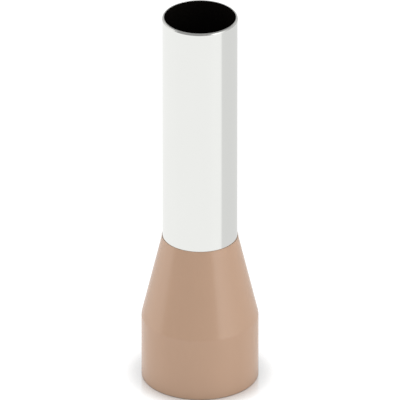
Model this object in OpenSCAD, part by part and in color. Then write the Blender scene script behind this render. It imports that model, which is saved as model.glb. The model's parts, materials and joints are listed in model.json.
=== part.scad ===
// Wire ferrule with an insulating collar, for a stranded conductor of 25 mm2.
//
// Two pieces. The metal sleeve is a drawn, tin-plated copper tube whose inner
// end opens into a bell. The insulating collar is a thin moulding: a straight
// skirt for the wire's insulation, a cone, and a neck that grips the sleeve.
// The bell lies along the inside of the cone, so that the sleeve can't be
// pulled out of the collar and every strand is led into the barrel.
//
// Millimetres, +Z up. The origin is the centre of the collar's mouth, on the
// surface that the ferrule stands on, and the axis of every round form is Z.

/* [Metal sleeve] */
// Inner diameter of the barrel, which the conductor's strands fill
sleeve_bore_d = 7.3; // [5:0.1:9]
// Wall of the drawn tube
sleeve_wall = 0.2; // [0.1:0.01:0.4]
// Length of the bare barrel that stands out of the collar
contact_l = 25; // [8:0.5:40]
// Length of the bell inside the collar, along the axis
bell_l = 3.2; // [1.5:0.1:6]
// How far the bend between barrel and bell reaches, each way from its corner
bend_l = 0.9; // [0.2:0.1:1.2]

/* [Insulating collar] */
// Inner diameter of the skirt, which takes the wire's insulation
skirt_bore_d = 11.2; // [9:0.1:16]
// Wall of the moulding, in the skirt and in the cone
collar_wall = 0.4; // [0.3:0.05:1.2]
// Length of the straight skirt, from the mouth to the shoulder
skirt_l = 6.85; // [3:0.05:10]
// Length of the cone, from the shoulder to the neck's land
cone_l = 8.95; // [5:0.05:16]
// Length of the straight land at the neck's end
neck_land_l = 0.2; // [0.1:0.05:2]
// Thickness of the lip that the neck ends in
neck_lip = 0.05; // [0.02:0.01:0.2]

/* [Edges] */
// Radius of the outer shoulder between the skirt and the cone
shoulder_r = 1.2; // [0.3:0.1:6]
// Radius of the inner corner between the skirt's bore and the cone
inner_corner_r = 0.8; // [0.2:0.1:6]
// Radius of the collar's outer edge at the mouth
foot_edge_r = 0.08; // [0.03:0.01:0.15]
// Size of the lead-in chamfer inside the mouth
mouth_lead = 0.12; // [0.05:0.01:0.15]
// Largest radius of the edges at the sleeve's tip and at its bell's rim
rim_edge_r = 0.09; // [0.02:0.01:0.09]

/* [Fit] */
// Clearance between the sleeve and the collar, all along their seat
seat_gap = 0.01; // [0:0.01:0.1]

/* [Hidden] */
$fn = 144;

// Largest distance between a rounded edge and the chords that stand for it
CHORD_ERROR = 0.002;
// Share of the sleeve's wall that one of its two rim edges may take
RIM_SHARE = 0.45;

// Radii
sleeve_ir = sleeve_bore_d / 2;
sleeve_or = sleeve_ir + sleeve_wall;
neck_ir = sleeve_or + seat_gap;
neck_or = neck_ir + neck_lip;
skirt_ir = skirt_bore_d / 2;
skirt_or = skirt_ir + collar_wall;
rim_r = min(rim_edge_r, RIM_SHARE * sleeve_wall);

// Heights
land_z = skirt_l + cone_l;
collar_l = land_z + neck_land_l;
tip_z = collar_l + contact_l;

// The cone: the angle of its side from the axis, and where its inside, which
// runs parallel to its outside, meets the neck's bore and the skirt's bore
cone_angle = atan((skirt_or - neck_or) / cone_l);
seat_z = land_z - (collar_wall / cos(cone_angle) - neck_lip) / tan(cone_angle);
inner_corner_z = skirt_l - collar_wall * tan(cone_angle / 2);
// Radius of the collar's edge there, which the sleeve bends round
seat_edge_r = bend_l / tan(cone_angle / 2);

// The bell: the way that its wall runs down the cone, the way from the cone
// into the bore, and where its rim lies on the cone
down_cone = [sin(cone_angle), -cos(cone_angle)];
into_bore = [-cos(cone_angle), -sin(cone_angle)];
bell_rim = [neck_ir, seat_z] + down_cone * bell_l / cos(cone_angle);

// Where the neck's bore meets the cone, moved off the collar by a distance
function seat_corner(off) = [neck_ir - off, seat_z - off * tan(cone_angle / 2)];

// Unit vector from point a towards point b
function toward(a, b) = (b - a) / norm(b - a);

// Vector v turned anticlockwise by an angle
function turned(v, angle) = [
    v.x * cos(angle) - v.y * sin(angle),
    v.x * sin(angle) + v.y * cos(angle)
];

// Points of the arc of radius r that rounds the corner b between a and c
function corner_arc(a, b, c, r) =
    let (
        to_a = toward(b, a),
        to_c = toward(b, c),
        half = acos(to_a * to_c) / 2,
        centre = b + toward([0, 0], to_a + to_c) * r / sin(half),
        start = b + to_a * r / tan(half) - centre,
        turn = (180 - 2 * half) * sign(cross(b - a, c - b)),
        steps = ceil(abs(turn) / (2 * acos(1 - CHORD_ERROR / r)))
    )
    [for (i = [0 : steps]) centre + turned(start, turn * i / steps)];

// Closed outline with its corners rounded. Each entry is a corner's point and
// the radius of its edge, where 0 leaves the corner sharp.
function rounded(corners) =
    let (count = len(corners))
    [
        for (i = [0 : count - 1])
            let (
                before = corners[(i + count - 1) % count],
                here = corners[i],
                after = corners[(i + 1) % count]
            )
            each here[1] > 0 ? corner_arc(before[0], here[0], after[0], here[1]) : [here[0]]
    ];

// Tin-plated copper tube: a straight barrel with a round tip rim, and a bell
// at its inner end that lies along the inside of the collar's cone. The bend
// between them follows the rounded edge of the collar's neck.
module metal_sleeve() {
    outside = seat_gap;
    inside = seat_gap + sleeve_wall;
    color([0.92, 0.92, 0.91])
    rotate_extrude() polygon(rounded([
        [[sleeve_or, tip_z], rim_r],
        [[sleeve_ir, tip_z], rim_r],
        [seat_corner(inside), seat_edge_r + inside],
        [bell_rim + into_bore * inside, rim_r],
        [bell_rim + into_bore * outside, rim_r],
        [seat_corner(outside), seat_edge_r + outside]
    ]));
}

// Moulded collar: a skirt with a lead-in at its mouth, a cone of the same wall,
// and a neck that thins to a lip round the sleeve
module insulating_collar() {
    color([0.77, 0.65, 0.57])
    rotate_extrude() polygon(rounded([
        [[skirt_ir + mouth_lead, 0], 0],
        [[skirt_or, 0], foot_edge_r],
        [[skirt_or, skirt_l], shoulder_r],
        [[neck_or, land_z], 0],
        [[neck_or, collar_l], 0],
        [[neck_ir, collar_l], 0],
        [[neck_ir, seat_z], seat_edge_r],
        [[skirt_ir, inner_corner_z], inner_corner_r],
        [[skirt_ir, mouth_lead], 0]
    ]));
}

metal_sleeve();
insulating_collar();
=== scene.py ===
"""Wire ferrule for a 25 mm2 conductor: its finished meshes, materials, studio and camera.

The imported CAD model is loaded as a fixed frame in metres, with Z along the axis and
the collar's mouth on the floor at Z = 0. Each of its two pieces is modelled again here
on the same section, finer and with its finish, and stands for the CAD node.
"""

import json
import logging
import math
from dataclasses import dataclass, field
from enum import Enum
from typing import Any

import bmesh
import bpy
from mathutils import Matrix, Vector


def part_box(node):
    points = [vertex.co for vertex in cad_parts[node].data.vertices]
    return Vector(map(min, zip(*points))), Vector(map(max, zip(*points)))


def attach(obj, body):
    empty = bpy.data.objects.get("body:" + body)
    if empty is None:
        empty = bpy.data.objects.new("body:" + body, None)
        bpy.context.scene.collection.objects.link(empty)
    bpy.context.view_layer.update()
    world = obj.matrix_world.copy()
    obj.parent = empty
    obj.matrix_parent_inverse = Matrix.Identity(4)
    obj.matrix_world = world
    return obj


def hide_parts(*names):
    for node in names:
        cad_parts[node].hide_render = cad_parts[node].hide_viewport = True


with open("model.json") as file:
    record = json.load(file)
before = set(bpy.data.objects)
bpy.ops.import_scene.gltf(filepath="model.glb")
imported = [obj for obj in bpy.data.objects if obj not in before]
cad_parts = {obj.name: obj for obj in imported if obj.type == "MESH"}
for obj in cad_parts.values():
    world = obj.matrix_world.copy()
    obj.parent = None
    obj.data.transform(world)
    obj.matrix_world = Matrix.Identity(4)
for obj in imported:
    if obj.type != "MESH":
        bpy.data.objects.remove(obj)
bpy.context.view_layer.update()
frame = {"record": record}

log = logging.getLogger("wire_ferrule")

MM = 0.001
# Straight sides round a turned piece
SEGMENTS = 256
# How near a vertex is to the place that it is picked by
PICK_TOLERANCE = 0.002 * MM
# Edges that turn by more than this are shaded as creases
CREASE_ANGLE = math.radians(32)
# Faces in the rounding of a small edge, of a corner and of a long bend
EDGE_STEPS = 6
CORNER_STEPS = 8
BEND_STEPS = 12
# Clearance between the sleeve and the collar, all along their seat
SEAT_GAP = 0.01 * MM
# Faces of the sleeve that look at the axis more squarely than this are its inside, which takes the bore's
# painted shade
INWARD = -0.8
# How much rougher each finer layer of a noise is
NOISE_ROUGHNESS = 0.55

Colour = tuple[float, float, float]


class Node(Enum):
    """The CAD nodes that the pieces stand for."""

    SLEEVE = "metal_sleeve"
    COLLAR = "insulating_collar"


class Slot(Enum):
    """The record's material slots."""

    TIN_PLATE = "tin_plate"
    COLLAR_PLASTIC = "collar_plastic"


# ---------------------------------------------------------------- shader maths


class Signal:
    """A number in a shader tree, which Python's operators turn into Math nodes."""

    def __init__(self, tree: "ShaderTree", socket: bpy.types.NodeSocket) -> None:
        """Wraps one output socket.

        Args:
            tree: the tree that the socket's node is in.
            socket: the output socket.
        """
        self.tree = tree
        self.socket = socket

    def math(self, operation: str, *operands: Any) -> "Signal":
        """Adds a Math node.

        Args:
            operation: the Math node's operation.
            operands: its inputs in their order, as signals or numbers.

        Returns:
            The node's result.
        """
        node = self.tree.node("ShaderNodeMath", {"operation": operation}, dict(enumerate(operands)))
        return Signal(self.tree, node.outputs[0])

    def __add__(self, other: Any) -> "Signal":
        """self + other."""
        return self.math("ADD", self, other)

    def __radd__(self, other: Any) -> "Signal":
        """other + self."""
        return self.math("ADD", other, self)

    def __sub__(self, other: Any) -> "Signal":
        """self - other."""
        return self.math("SUBTRACT", self, other)

    def __rsub__(self, other: Any) -> "Signal":
        """other - self."""
        return self.math("SUBTRACT", other, self)

    def __mul__(self, other: Any) -> "Signal":
        """self * other."""
        return self.math("MULTIPLY", self, other)

    def __rmul__(self, other: Any) -> "Signal":
        """other * self."""
        return self.math("MULTIPLY", other, self)

    def smooth_step(self, low: float, high: float) -> "Signal":
        """Rises smoothly from 0 to 1.

        Args:
            low: the value where the rise starts.
            high: the value where it ends.

        Returns:
            The mask from 0 to 1.
        """
        node = self.tree.node(
            "ShaderNodeMapRange",
            {"interpolation_type": "SMOOTHSTEP"},
            {"Value": self, "From Min": low, "From Max": high},
        )
        return Signal(self.tree, node.outputs["Result"])

    def window(self, low: float, high: float, softness: float) -> "Signal":
        """Is 1 between two values and 0 outside them.

        Args:
            low: the value in the middle of the rising edge.
            high: the value in the middle of the falling edge.
            softness: the width of each edge.

        Returns:
            The mask from 0 to 1.
        """
        half = softness / 2
        rise = self.smooth_step(low - half, low + half)
        return rise * (1 - self.smooth_step(high - half, high + half))


class ShaderTree:
    """A node tree that is built from Python expressions."""

    def __init__(self, tree: bpy.types.NodeTree) -> None:
        """Empties a node tree.

        Args:
            tree: the tree of a material or a world.
        """
        self.tree = tree
        self.tree.nodes.clear()

    def node(
        self,
        kind: str,
        settings: dict[str, Any] | None = None,
        inputs: dict[Any, Any] | None = None,
    ) -> bpy.types.Node:
        """Adds a node.

        Args:
            kind: the node's type.
            settings: its properties by name, which are set first.
            inputs: its sockets by name or number, each with a value, a signal or a socket.

        Returns:
            The node.
        """
        node = self.tree.nodes.new(kind)
        for name, value in (settings or {}).items():
            setattr(node, name, value)
        for key, value in (inputs or {}).items():
            if isinstance(value, Signal):
                value = value.socket
            if isinstance(value, bpy.types.NodeSocket):
                self.tree.links.new(value, node.inputs[key])
            else:
                node.inputs[key].default_value = value
        return node

    def signal(self, node: bpy.types.Node, output: str | int = 0) -> Signal:
        """Wraps one of a node's outputs."""
        return Signal(self, node.outputs[output])

    def object_point(self, stretch: Colour = (1.0, 1.0, 1.0)) -> bpy.types.NodeSocket:
        """Gives the surface's place on the piece.

        Args:
            stretch: the factor of each axis.

        Returns:
            The place as a vector.
        """
        place = self.node("ShaderNodeTexCoord").outputs["Object"]
        mapping = self.node(
            "ShaderNodeMapping", {"vector_type": "POINT"}, {"Vector": place, "Scale": stretch}
        )
        return mapping.outputs["Vector"]

    def noise(self, point: bpy.types.NodeSocket, per_metre: float, octaves: float) -> Signal:
        """Adds a noise around 0.5.

        Args:
            point: where the noise is read.
            per_metre: the number of its features along a metre.
            octaves: how many finer layers it has.

        Returns:
            The noise from 0 to 1.
        """
        node = self.node(
            "ShaderNodeTexNoise",
            {"noise_dimensions": "3D"},
            {"Vector": point, "Scale": per_metre, "Detail": octaves, "Roughness": NOISE_ROUGHNESS},
        )
        return self.signal(node, 0)

    def blend(self, factor: Signal, first: Colour, second: Colour) -> bpy.types.NodeSocket:
        """Blends two colours.

        Args:
            factor: 0 for the first colour, 1 for the second.
            first: the first colour.
            second: the second colour.

        Returns:
            The colour between them.
        """
        node = self.node(
            "ShaderNodeMix",
            {"data_type": "RGBA", "clamp_factor": True},
            {0: factor, 6: (*first, 1.0), 7: (*second, 1.0)},
        )
        return node.outputs[2]

    def mix(self, factor: Signal, first: bpy.types.Node, second: bpy.types.Node) -> bpy.types.Node:
        """Mixes two shaders.

        Args:
            factor: 0 for the first shader, 1 for the second.
            first: the first shader's node.
            second: the second shader's node.

        Returns:
            The Mix Shader node.
        """
        return self.node("ShaderNodeMixShader", {}, {0: factor, 1: first.outputs[0], 2: second.outputs[0]})

    def bump(self, height: Signal, depth: float, strength: float) -> bpy.types.NodeSocket:
        """Turns a height into a normal.

        Args:
            height: the height from 0 to 1.
            depth: the distance that a height of 1 stands for.
            strength: how strongly it shows.

        Returns:
            The normal.
        """
        node = self.node("ShaderNodeBump", {}, {"Height": height, "Distance": depth, "Strength": strength})
        return node.outputs["Normal"]


def grey(level: float) -> tuple[float, float, float, float]:
    """A neutral colour for a shader's socket."""
    return (level, level, level, 1.0)


def tinted(colour: Colour, factor: float) -> Colour:
    """A colour made lighter or darker by a factor."""
    return (colour[0] * factor, colour[1] * factor, colour[2] * factor)


# ---------------------------------------------------------------- finishes


@dataclass(frozen=True)
class TinPlate:
    """Bright tin plate on a drawn tube, with faint lines along the axis.

    Attributes:
        colour: the plate's colour.
        clouding: how much lighter or darker the plate is in places.
        roughness: the plate's roughness between its lines.
        line_roughness: what the lines add to it.
        line_depth: the depth of the drawing lines.
        lines_per_metre: how close the lines are.
        line_stretch: the factor that draws them out along the axis.
        clouds_per_metre: how close the clouds are.
        cloud_stretch: the factor that draws them out.
    """

    colour: Colour = (0.845, 0.852, 0.828)
    clouding: float = 0.010
    roughness: float = 0.11
    line_roughness: float = 0.04
    line_depth: float = 0.0006 * MM
    lines_per_metre: float = 9000.0
    line_stretch: float = 0.02
    clouds_per_metre: float = 260.0
    cloud_stretch: float = 0.35

    def material(self) -> bpy.types.Material:
        """Builds the material."""
        material = bpy.data.materials.new("tin_plate")
        material.use_nodes = True
        tree = ShaderTree(material.node_tree)
        along = tree.object_point((1.0, 1.0, self.line_stretch))
        lines = tree.noise(along, self.lines_per_metre, 3.0)
        cloudy = tree.object_point((1.0, 1.0, self.cloud_stretch))
        clouds = tree.noise(cloudy, self.clouds_per_metre, 2.0)
        shader = tree.node(
            "ShaderNodeBsdfPrincipled",
            {},
            {
                "Base Color": tree.blend(
                    clouds, tinted(self.colour, 1 - self.clouding), tinted(self.colour, 1 + self.clouding)
                ),
                "Metallic": 1.0,
                "Roughness": self.roughness + (lines - 0.5) * self.line_roughness,
                "Normal": tree.bump(lines, self.line_depth, 1.0),
            },
        )
        tree.node("ShaderNodeOutputMaterial", {}, {"Surface": shader.outputs[0]})
        return material


@dataclass(frozen=True)
class CutEdge:
    """Duller metal of the tube's cut and rounded tip.

    Attributes:
        colour: the metal's colour.
        roughness: its mean roughness.
        roughness_range: how far the roughness varies.
        burr_depth: the depth of the marks that the cut left.
        marks_per_metre: how close the marks are.
        mottling: how much lighter or darker they make it.
    """

    colour: Colour = (0.62, 0.62, 0.60)
    roughness: float = 0.22
    roughness_range: float = 0.10
    burr_depth: float = 0.002 * MM
    marks_per_metre: float = 4000.0
    mottling: float = 0.05

    def material(self) -> bpy.types.Material:
        """Builds the material."""
        material = bpy.data.materials.new("cut_edge")
        material.use_nodes = True
        tree = ShaderTree(material.node_tree)
        marks = tree.noise(tree.object_point(), self.marks_per_metre, 3.0)
        shader = tree.node(
            "ShaderNodeBsdfPrincipled",
            {},
            {
                "Base Color": tree.blend(
                    marks, tinted(self.colour, 1 - self.mottling), tinted(self.colour, 1 + self.mottling)
                ),
                "Metallic": 1.0,
                "Roughness": self.roughness + (marks - 0.5) * self.roughness_range,
                "Normal": tree.bump(marks, self.burr_depth, 0.5),
            },
        )
        tree.node("ShaderNodeOutputMaterial", {}, {"Surface": shader.outputs[0]})
        return material


@dataclass(frozen=True)
class PaintedShadeBore:
    """Painted shade inside the tube: a dull, near-black colour in place of its tin plate, standing in for
    the shade deep in the bore, which turns to tin plate in the bell.

    Attributes:
        plate: the finish that it turns into.
        plate_top: the height where the plate ends and the painted shade begins.
        colour: the painted shade's colour.
        roughness: the painted shade's roughness.
        gloss: how much light its surface throws back unscattered.
        plate_fade: the way over which the plate fades into the painted shade.
        shade_edge_and_bump_per_metre: how close the noise is that makes the painted shade's edge ragged
            and bumps the bore.
        stain_depth: how far its bumps stand out.
    """

    plate: TinPlate
    plate_top: float
    # Near-black painted shade of the deep bore
    colour: Colour = (0.0030, 0.0019, 0.0011)
    roughness: float = 0.7
    gloss: float = 0.08
    plate_fade: float = 2.0 * MM
    shade_edge_and_bump_per_metre: float = 700.0
    stain_depth: float = 0.002 * MM

    def material(self) -> bpy.types.Material:
        """Builds the material."""
        material = bpy.data.materials.new("painted_shade_bore")
        material.use_nodes = True
        tree = ShaderTree(material.node_tree)
        point = tree.object_point()
        height = tree.signal(tree.node("ShaderNodeSeparateXYZ", {}, {"Vector": point}), "Z")
        shade_edge_and_bump = tree.noise(point, self.shade_edge_and_bump_per_metre, 4.0)
        edge = (shade_edge_and_bump - 0.5) * self.plate_fade
        # Painted shade: above plate_top, with a ragged edge, the bore turns from tin plate to a dull
        # near-black
        dark = (height + edge).smooth_step(self.plate_top, self.plate_top + self.plate_fade)
        shader = tree.node(
            "ShaderNodeBsdfPrincipled",
            {},
            {
                "Base Color": tree.blend(dark, self.plate.colour, self.colour),
                "Metallic": 1 - dark,
                "Roughness": self.plate.roughness + dark * (self.roughness - self.plate.roughness),
                "Specular IOR Level": self.gloss,
                "Normal": tree.bump(shade_edge_and_bump, self.stain_depth, 0.5),
            },
        )
        tree.node("ShaderNodeOutputMaterial", {}, {"Surface": shader.outputs[0]})
        return material


@dataclass(frozen=True)
class MouldedPlastic:
    """Semi-gloss moulded plastic with a fine grain.

    Attributes:
        colour: the plastic's colour.
        mottling: how much lighter or darker it is in places.
        roughness: its mean roughness.
        roughness_range: how far the roughness varies.
        grain_depth: the depth of the mould's grain.
        grains_per_metre: how fine the grain is.
        flow_per_metre: how close the marks of the plastic's flow are.
        flow_stretch: the factor that draws them out along the axis.
        refraction: the plastic's refractive index, which sets its gloss.
    """

    colour: Colour = (0.449, 0.288, 0.194)
    mottling: float = 0.02
    roughness: float = 0.24
    roughness_range: float = 0.06
    grain_depth: float = 0.0008 * MM
    grains_per_metre: float = 6500.0
    flow_per_metre: float = 420.0
    flow_stretch: float = 0.3
    refraction: float = 1.49

    def material(self) -> bpy.types.Material:
        """Builds the material."""
        material = bpy.data.materials.new("moulded_plastic")
        material.use_nodes = True
        tree = ShaderTree(material.node_tree)
        grain = tree.noise(tree.object_point(), self.grains_per_metre, 4.0)
        drawn_out = tree.object_point((1.0, 1.0, self.flow_stretch))
        flow = tree.noise(drawn_out, self.flow_per_metre, 3.0)
        shader = tree.node(
            "ShaderNodeBsdfPrincipled",
            {},
            {
                "Base Color": tree.blend(
                    flow, tinted(self.colour, 1 - self.mottling), tinted(self.colour, 1 + self.mottling)
                ),
                "Roughness": self.roughness + (grain - 0.5) * self.roughness_range,
                "IOR": self.refraction,
                "Normal": tree.bump(grain, self.grain_depth, 1.0),
            },
        )
        tree.node("ShaderNodeOutputMaterial", {}, {"Surface": shader.outputs[0]})
        return material


# ---------------------------------------------------------------- turned pieces


@dataclass(frozen=True)
class Ring:
    """A corner of a turned piece's section.

    Attributes:
        radius: its distance from the axis.
        height: its height above the floor.
        reach: how far the rounding of the corner goes along each side, 0 if it is sharp.
        steps: the number of faces in the rounding.
    """

    radius: float
    height: float
    reach: float = 0.0
    steps: int = 0


class Lathe:
    """Draws a round piece as an edge loop along its section, in edit mode."""

    def __init__(self, name: str, first: Ring) -> None:
        """Adds the first loop and leaves it selected in edit mode.

        Args:
            name: the piece's name.
            first: where the section starts.
        """
        bpy.ops.object.select_all(action="DESELECT")
        bpy.ops.mesh.primitive_circle_add(
            vertices=SEGMENTS,
            radius=first.radius,
            fill_type="NOTHING",
            location=(0.0, 0.0, first.height),
        )
        bpy.ops.object.transform_apply(location=True, rotation=True, scale=True)
        self.piece = bpy.context.object
        self.piece.name = name
        self.piece.data.name = name
        self.end = first
        self.edit()
        bpy.ops.mesh.select_all(action="SELECT")

    def edit(self) -> None:
        """Goes into edit mode and picks edges."""
        bpy.ops.object.mode_set(mode="EDIT")
        bpy.ops.mesh.select_mode(type="EDGE")

    def draw(self, ring: Ring) -> None:
        """Extrudes the open loop to the section's next corner.

        Args:
            ring: the corner.
        """
        rise = ring.height - self.end.height
        bpy.ops.mesh.extrude_region_move(TRANSFORM_OT_translate={"value": (0.0, 0.0, rise)})
        scale = ring.radius / self.end.radius
        bpy.ops.transform.resize(value=(scale, scale, 1.0), center_override=(0.0, 0.0, ring.height))
        self.end = ring

    def pick(self, *rings: Ring) -> None:
        """Selects the loops at some corners and nothing else.

        Args:
            rings: the corners.
        """
        bpy.ops.mesh.select_all(action="DESELECT")
        mesh = bmesh.from_edit_mesh(self.piece.data)
        for edge in mesh.edges:
            for ring in rings:
                if all(self.lies_on(corner.co, ring) for corner in edge.verts):
                    edge.select = True
        mesh.select_flush_mode()
        bmesh.update_edit_mesh(self.piece.data)

    @staticmethod
    def lies_on(point: Vector, ring: Ring) -> bool:
        """Whether a point is on a corner's loop."""
        off_radius = abs(math.hypot(point.x, point.y) - ring.radius)
        return off_radius < PICK_TOLERANCE and abs(point.z - ring.height) < PICK_TOLERANCE

    def join(self, first: Ring, last: Ring) -> None:
        """Closes the section between two open loops.

        Args:
            first: the corner of one loop.
            last: the corner of the other.
        """
        self.pick(first, last)
        bpy.ops.mesh.bridge_edge_loops()

    def round_off(self, ring: Ring) -> None:
        """Rounds the loop at a corner.

        Args:
            ring: the corner, its reach and steps.
        """
        self.pick(ring)
        bpy.ops.mesh.bevel(
            offset_type="OFFSET",
            offset=ring.reach,
            segments=ring.steps,
            profile=0.5,
            affect="EDGES",
        )

    def stretch_above(self, height: float, factor: float) -> None:
        """Stretches what lies above a height, along the axis.

        Args:
            height: the height that stays where it is.
            factor: how many times as tall the rest becomes.
        """
        bpy.ops.mesh.select_all(action="DESELECT")
        mesh = bmesh.from_edit_mesh(self.piece.data)
        for edge in mesh.edges:
            edge.select = all(corner.co.z > height - PICK_TOLERANCE for corner in edge.verts)
        mesh.select_flush_mode()
        bmesh.update_edit_mesh(self.piece.data)
        bpy.ops.transform.resize(value=(1.0, 1.0, factor), center_override=(0.0, 0.0, height))

    def face_outwards(self) -> None:
        """Merges doubled vertices and turns every face outwards."""
        bpy.ops.mesh.select_all(action="SELECT")
        bpy.ops.mesh.remove_doubles(threshold=PICK_TOLERANCE / 10)
        bpy.ops.mesh.normals_make_consistent(inside=False)

    def thicken(self, wall: float) -> None:
        """Gives the drawn surface a wall on its inside.

        Args:
            wall: the wall's thickness.
        """
        bpy.ops.object.mode_set(mode="OBJECT")
        bpy.ops.object.modifier_add(type="SOLIDIFY")
        solidify = self.piece.modifiers[-1]
        solidify.thickness = wall
        solidify.offset = -1.0
        solidify.use_even_offset = True
        solidify.use_rim = True
        bpy.ops.object.modifier_apply(modifier=solidify.name)
        self.edit()

    def finish(self) -> bpy.types.Object:
        """Shades the piece smooth, true to its large faces, and leaves edit mode.

        Returns:
            The piece.
        """
        bpy.ops.object.mode_set(mode="OBJECT")
        bpy.ops.object.shade_smooth_by_angle(angle=CREASE_ANGLE)
        bpy.ops.object.modifier_add(type="WEIGHTED_NORMAL")
        weighted = self.piece.modifiers[-1]
        weighted.keep_sharp = True
        bpy.ops.object.modifier_apply(modifier=weighted.name)
        return self.piece


def hand_over(piece: bpy.types.Object, node: Node) -> None:
    """Ties a piece to the frame and reports it.

    Args:
        piece: the finished piece.
        node: the CAD node that it stands for.
    """
    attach(piece, "root")
    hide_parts(node.value)
    log.info("%s stands for %s: %d faces", piece.name, node.value, len(piece.data.polygons))


@dataclass(frozen=True)
class Seat:
    """The seat in the collar's neck, which the sleeve's bell lies on.

    Attributes:
        radius: the radius of the neck's bore.
        height: where the bore meets the cone inside.
        angle: the angle of the cone's side from the axis.
        reach: how far the rounding of that corner goes along each side.
    """

    radius: float
    height: float
    angle: float
    reach: float = 0.9 * MM


def mount_radius(name: str) -> float:
    """The radius of one of the record's mounts, in metres."""
    mount = next(m for m in frame["record"]["mounts"] if m["name"] == name)
    return mount["dims"]["r_mm"] * MM


@dataclass
class InsulatingCollar:
    """The moulded collar: skirt, cone, and a neck that thins to a lip.

    Attributes:
        skirt_radius: the outer radius of the skirt.
        skirt_bore: the radius of the skirt's bore.
        length: the collar's length.
        neck_bore: the radius of the neck's bore.
        skirt_length: from the mouth to the shoulder.
        land_length: the straight end of the neck.
        lip: the thickness of the neck's end.
        shoulder: the radius of the shoulder's rounding.
        inner_corner: the radius of the rounding inside, between skirt and cone.
        foot_edge: the radius of the outer edge at the mouth.
        mouth_lead: the size of the chamfer inside the mouth.
        finish: the finish.
    """

    skirt_radius: float
    skirt_bore: float
    length: float
    neck_bore: float
    skirt_length: float = 6.85 * MM
    land_length: float = 0.2 * MM
    lip: float = 0.05 * MM
    shoulder: float = 1.2 * MM
    inner_corner: float = 0.8 * MM
    foot_edge: float = 0.08 * MM
    mouth_lead: float = 0.12 * MM
    finish: MouldedPlastic = field(default_factory=MouldedPlastic)

    @property
    def land_height(self) -> float:
        """Where the cone ends and the neck's land starts."""
        return self.length - self.land_length

    @property
    def wall(self) -> float:
        """The wall of the skirt and the cone."""
        return self.skirt_radius - self.skirt_bore

    def seat(self) -> Seat:
        """Works out the seat in the neck.

        Returns:
            The seat, where the cone's inside runs parallel to its outside.
        """
        narrowing = self.skirt_radius - self.neck_bore - self.lip
        angle = math.atan(narrowing / (self.land_height - self.skirt_length))
        drop = (self.wall / math.cos(angle) - self.lip) / math.tan(angle)
        return Seat(radius=self.neck_bore, height=self.land_height - drop, angle=angle)

    def build(self) -> bpy.types.Object:
        """Models the collar as one closed moulding.

        Returns:
            The collar, dressed and tied to the frame.
        """
        seat = self.seat()
        half_turn = math.tan(seat.angle / 2)
        neck_radius = self.neck_bore + self.lip
        foot = Ring(self.skirt_radius, 0.0, self.foot_edge, EDGE_STEPS)
        shoulder = Ring(self.skirt_radius, self.skirt_length, self.shoulder * half_turn, CORNER_STEPS)
        bend = Ring(seat.radius, seat.height, seat.reach, BEND_STEPS)
        inner_height = self.skirt_length - self.wall * half_turn
        inner = Ring(self.skirt_bore, inner_height, self.inner_corner * half_turn, CORNER_STEPS)
        mouth = Ring(self.skirt_bore + self.mouth_lead, 0.0)
        lathe = Lathe("collar", foot)
        for ring in (
            shoulder,
            Ring(neck_radius, self.land_height),
            Ring(neck_radius, self.length),
            Ring(self.neck_bore, self.length),
            bend,
            inner,
            Ring(self.skirt_bore, self.mouth_lead),
            mouth,
        ):
            lathe.draw(ring)
        lathe.join(foot, mouth)
        for ring in (foot, shoulder, bend, inner):
            lathe.round_off(ring)
        lathe.face_outwards()
        collar = lathe.finish()
        collar.data.materials.append(self.finish.material())
        hand_over(collar, Node.COLLAR)
        return collar


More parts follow.
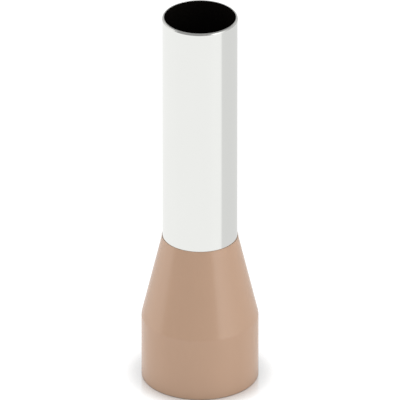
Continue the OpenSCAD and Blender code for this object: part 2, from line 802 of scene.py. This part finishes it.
@dataclass
class MetalSleeve:
    """The tin-plated tube: a straight barrel that bends into a bell.

    Attributes:
        radius: the barrel's outer radius.
        bore: the barrel's inner radius.
        tip_height: where the barrel ends.
        seat: the collar's seat, which the bell lies on.
        bell_length: the bell's length along the axis.
        rim_edge: the radius of the bell's two edges.
        crown: the height of the rounding at the tip.
        crown_width: how far it reaches in from the outside.
        crown_steps: the number of faces in it.
        inner_edge: the radius of the tip's inner edge.
        inner_edge_steps: the number of faces in that.
        plate_above_seat: how far above the seat the plate inside ends and the bore's painted shade begins.
        plate: the outside's finish.
        cut_edge: the finish of the rounded tip.
    """

    radius: float
    bore: float
    tip_height: float
    seat: Seat
    bell_length: float = 3.2 * MM
    rim_edge: float = 0.098 * MM
    crown: float = 0.2 * MM
    crown_width: float = 0.16 * MM
    crown_steps: int = 10
    inner_edge: float = 0.03 * MM
    inner_edge_steps: int = 4
    plate_above_seat: float = 2.0 * MM
    plate: TinPlate = field(default_factory=TinPlate)
    cut_edge: CutEdge = field(default_factory=CutEdge)

    @property
    def wall(self) -> float:
        """The tube's wall."""
        return self.radius - self.bore

    def build(self) -> bpy.types.Object:
        """Models the outside as one surface, gives it its wall and rounds its rims.

        Returns:
            The sleeve, dressed and tied to the frame.
        """
        gap = self.seat.radius - self.radius
        angle = self.seat.angle
        half_turn = math.tan(angle / 2)
        bend_height = self.seat.height - gap * half_turn
        bend = Ring(self.radius, bend_height, self.seat.reach + gap * half_turn, BEND_STEPS)
        flare = self.bell_length * math.tan(angle)
        rim = Ring(
            self.seat.radius + flare - gap * math.cos(angle),
            self.seat.height - self.bell_length - gap * math.sin(angle),
        )
        crown_foot = self.tip_height - self.crown
        tip = Ring(self.radius, crown_foot + self.crown_width)
        lathe = Lathe("sleeve", tip)
        lathe.draw(bend)
        lathe.draw(rim)
        lathe.round_off(bend)
        lathe.face_outwards()
        lathe.thicken(self.wall)
        inner_tip = Ring(self.bore, tip.height)
        inner_rim = Ring(
            rim.radius - self.wall * math.cos(angle),
            rim.height - self.wall * math.sin(angle),
        )
        lathe.round_off(Ring(tip.radius, tip.height, self.crown_width, self.crown_steps))
        lathe.round_off(Ring(inner_tip.radius, inner_tip.height, self.inner_edge, self.inner_edge_steps))
        for ring in (rim, inner_rim):
            lathe.round_off(Ring(ring.radius, ring.height, self.rim_edge, CORNER_STEPS))
        lathe.stretch_above(crown_foot, self.crown / self.crown_width)
        sleeve = lathe.finish()
        self.dress(sleeve)
        hand_over(sleeve, Node.SLEEVE)
        return sleeve

    def dress(self, sleeve: bpy.types.Object) -> None:
        """Gives the bore its painted shade, the tip its cut edge and the rest its tin plate.

        Args:
            sleeve: the piece.
        """
        bore_painted_shade = PaintedShadeBore(self.plate, self.seat.height + self.plate_above_seat)
        sleeve.data.materials.append(self.plate.material())
        sleeve.data.materials.append(bore_painted_shade.material())
        sleeve.data.materials.append(self.cut_edge.material())
        for face in sleeve.data.polygons:
            radial = Vector((face.center.x, face.center.y, 0.0)).normalized()
            if face.center.z > self.tip_height - self.crown:
                face.material_index = 2
            # Inside faces take the bore's painted shade
            elif face.normal.dot(radial) < INWARD:
                face.material_index = 1


# ---------------------------------------------------------------- studio


@dataclass(frozen=True)
class Floor:
    """The plain white floor, with a painted contact shadow around what stands on it.

    Attributes:
        radius: the floor's radius.
        albedo: how much light it throws back onto the object.
        lit: the share of its look that is paint under the light.
        glow: the share that glows evenly white for the camera, darkened by the painted contact shadow
            where something touches the floor.
        contact: how far the painted contact shadow reaches.
        fading: how strong the painted shadow is in the glow.
        darkening: how strong the painted shade is in the floor's albedo, which darkens the light it throws
            back onto the object's foot.
        mirror: how much the floor reflects where something touches it.
        mirror_roughness: how soft the reflection is.
    """

    radius: float = 0.6
    albedo: float = 0.88
    lit: float = 0.25
    glow: float = 0.90
    contact: float = 2.4 * MM
    fading: float = 0.75
    darkening: float = 1.2
    mirror: float = 1.2
    mirror_roughness: float = 0.12

    def build(self) -> bpy.types.Object:
        """Adds the floor.

        Returns:
            The floor.
        """
        bpy.ops.object.select_all(action="DESELECT")
        bpy.ops.mesh.primitive_circle_add(vertices=96, radius=self.radius, fill_type="NGON")
        floor = bpy.context.object
        floor.name = "floor"
        floor.data.materials.append(self.material())
        return floor

    def material(self) -> bpy.types.Material:
        """Builds the floor's paint.

        Returns:
            A paint that is white for the camera and pale for the light it throws back, both with a
            painted contact shadow from ambient occlusion where something touches it. In the object's
            gloss it lets the studio show, except where something touches it, where it shows that painted
            shade.
        """
        material = bpy.data.materials.new("floor_paint")
        material.use_nodes = True
        tree = ShaderTree(material.node_tree)
        # Painted contact shadow: ambient occlusion near the object darkens the floor's glow and albedo
        contact = tree.node("ShaderNodeAmbientOcclusion", {"samples": 16}, {"Distance": self.contact})
        near = 1 - tree.signal(contact, "AO")
        dark = near * self.darkening
        albedo = tree.blend(dark, (self.albedo, self.albedo, self.albedo), (0.0, 0.0, 0.0))
        paint = tree.node("ShaderNodeBsdfDiffuse", {}, {"Color": albedo})
        lit = tree.node("ShaderNodeBsdfDiffuse", {}, {"Color": grey(self.lit)})
        glow_under_painted_shadow = tree.blend(
            near * self.fading, (self.glow, self.glow, self.glow), (0.0, 0.0, 0.0)
        )
        glow = tree.node("ShaderNodeEmission", {}, {"Color": glow_under_painted_shadow, "Strength": 1.0})
        matt = tree.node("ShaderNodeAddShader", {}, {0: lit.outputs[0], 1: glow.outputs[0]})
        mirror = tree.node(
            "ShaderNodeBsdfGlossy", {}, {"Color": grey(1.0), "Roughness": self.mirror_roughness}
        )
        studio = tree.node("ShaderNodeBsdfTransparent", {}, {"Color": grey(1.0)})
        path = tree.node("ShaderNodeLightPath")
        seen = tree.mix(near * self.mirror, matt, mirror)
        # In gloss the floor shows its painted shade near the foot and lets the studio show elsewhere
        in_gloss = tree.mix(dark, studio, paint)
        unseen = tree.mix(tree.signal(path, "Is Glossy Ray"), paint, in_gloss)
        look = tree.mix(tree.signal(path, "Is Camera Ray"), unseen, seen)
        tree.node("ShaderNodeOutputMaterial", {}, {"Surface": look.outputs[0]})
        return material


@dataclass(frozen=True)
class StudioLight:
    """Soft white light from all sides, with panels and a gap that gloss shows.

    Bearings are degrees to the right of the gap's middle. A rise is the sine of a
    direction's angle above the horizon.

    Attributes:
        turn: the bearing of the camera, from the gap's middle.
        front_level: the soft light from the front, the back and above.
        side_level: what the sides add to it.
        gap: how far the dark gap between the panels reaches to each side.
        gap_level: how bright the gap and the ceiling are in gloss.
        horizon: the rise where the panels start.
        horizon_edge: how far that edge reaches up and down.
        ceiling: the rise where they end.
        ceiling_edge: how far that edge reaches up and down.
        left_panel: how bright the left panel is at the gap.
        right_panel: how bright the right panel is at the gap.
        back_level: how bright the panels are at the back.
        left_end: the bearing where the left panel has faded to that.
        right_end: the bearing where the right panel has.
        floor_level: how bright the floor is in gloss.
        shade: the bearing where the floor's greyer part starts.
        shade_level: how bright that part is.
        softness: the width of the edges, in degrees.
    """

    turn: float = 21.0
    front_level: float = 0.76
    side_level: float = 1.40
    gap: float = 57.0
    gap_level: float = 0.46
    horizon: float = -0.37
    horizon_edge: float = 0.03
    ceiling: float = 0.56
    ceiling_edge: float = 0.05
    left_panel: float = 1.45
    right_panel: float = 2.3
    back_level: float = 0.75
    left_end: float = 138.0
    right_end: float = 118.0
    floor_level: float = 1.0
    shade: float = 90.5
    shade_level: float = 0.775
    softness: float = 6.0

    def build(self) -> bpy.types.World:
        """Builds the world and makes it the scene's.

        Returns:
            The world.
        """
        world = bpy.data.worlds.new("studio")
        world.use_nodes = True
        world.cycles.sampling_method = "NONE"
        tree = ShaderTree(world.node_tree)
        turned = tree.node(
            "ShaderNodeMapping",
            {"vector_type": "POINT"},
            {
                "Vector": tree.node("ShaderNodeTexCoord").outputs["Generated"],
                "Rotation": (0.0, 0.0, math.radians(self.turn)),
            },
        )
        parts = tree.node("ShaderNodeSeparateXYZ", {}, {"Vector": turned.outputs["Vector"]})
        across = tree.signal(parts, "X")
        away = tree.signal(parts, "Y")
        rise = tree.signal(parts, "Z")
        bearing = across.math("ARCTAN2", across, 0 - away) * math.degrees(1.0)
        soft_light = across * across * self.side_level + self.front_level
        gloss = self.gloss(bearing, rise)
        path = tree.node("ShaderNodeLightPath")
        shown = soft_light + tree.signal(path, "Is Glossy Ray") * (gloss - soft_light)
        strength = shown + tree.signal(path, "Is Camera Ray") * (1 - shown)
        background = tree.node(
            "ShaderNodeBackground", {}, {"Color": grey(1.0), "Strength": strength}
        )
        tree.node("ShaderNodeOutputWorld", {}, {"Surface": background.outputs[0]})
        bpy.context.scene.world = world
        return world

    def panel(self, off_gap: Signal, level: float, end: float) -> Signal:
        """Works out how bright a panel is.

        Args:
            off_gap: the bearing from the gap's middle, to either side.
            level: the brightness at the gap.
            end: the bearing where it has faded to that of the back.

        Returns:
            The brightness.
        """
        fade = 1 - off_gap.smooth_step(self.gap, end)
        return self.back_level + fade * (level - self.back_level)

    def gloss(self, bearing: Signal, rise: Signal) -> Signal:
        """Works out how bright the studio is where gloss looks.

        Args:
            bearing: the direction's bearing.
            rise: the direction's rise.

        Returns:
            The brightness.
        """
        half = self.softness / 2
        off_gap = bearing.math("ABSOLUTE", bearing)
        left = self.panel(off_gap, self.left_panel, self.left_end)
        right = self.panel(off_gap, self.right_panel, self.right_end)
        panels = left + bearing.smooth_step(-1.0, 1.0) * (right - left)
        gap = bearing.window(-self.gap, self.gap, self.softness)
        around = panels + gap * (self.gap_level - panels)
        shaded = bearing.smooth_step(self.shade - half, self.shade + half)
        floor = self.floor_level * (1 - shaded * (1 - self.shade_level))
        upright = rise.smooth_step(
            self.horizon - self.horizon_edge, self.horizon + self.horizon_edge
        )
        overhead = rise.smooth_step(
            self.ceiling - self.ceiling_edge, self.ceiling + self.ceiling_edge
        )
        sides = floor + upright * (around - floor)
        return sides + overhead * (self.gap_level - sides)


@dataclass(frozen=True)
class StudioCamera:
    """A camera with a very long lens, so that the sides of the tube look parallel.

    Attributes:
        elevation: its angle above the horizon.
        target_height: the height on the axis that it looks at.
        field_width: the width that it sees there.
        lens_mm: the focal length.
        sensor_mm: the sensor's width.
    """

    elevation: float = math.radians(28.0)
    target_height: float = 19.97 * MM
    field_width: float = 40.8 * MM
    lens_mm: float = 1600.0
    sensor_mm: float = 36.0

    def build(self) -> bpy.types.Object:
        """Adds the camera and makes it the scene's.

        Returns:
            The camera.
        """
        distance = self.field_width * self.lens_mm / self.sensor_mm
        back = Vector((0.0, -math.cos(self.elevation), math.sin(self.elevation)))
        target = Vector((0.0, 0.0, self.target_height))
        bpy.ops.object.camera_add(
            location=target + back * distance,
            rotation=(math.pi / 2 - self.elevation, 0.0, 0.0),
        )
        camera = bpy.context.object
        camera.name = "studio_camera"
        camera.data.lens = self.lens_mm
        camera.data.sensor_width = self.sensor_mm
        camera.data.clip_start = distance / 10
        camera.data.clip_end = distance * 3
        bpy.context.scene.camera = camera
        return camera


def main() -> None:
    """Builds the ferrule, the studio and the camera, sized from the two CAD pieces' boxes and the record's
    mounts.
    """
    logging.basicConfig(level=logging.INFO, format="%(name)s: %(message)s")
    _, collar_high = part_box(Node.COLLAR.value)
    _, sleeve_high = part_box(Node.SLEEVE.value)
    sleeve_radius = mount_radius("contact_sleeve")
    collar = InsulatingCollar(
        skirt_radius=collar_high.x,
        skirt_bore=mount_radius("insulation_bore"),
        length=collar_high.z,
        neck_bore=sleeve_radius + SEAT_GAP,
    )
    collar.build()
    sleeve = MetalSleeve(
        radius=sleeve_radius,
        bore=mount_radius("conductor_bore"),
        tip_height=sleeve_high.z,
        seat=collar.seat(),
    )
    sleeve.build()
    Floor().build()
    StudioLight().build()
    StudioCamera().build()
    bpy.context.scene.view_settings.view_transform = "Standard"


if __name__ == "__main__":
    main()
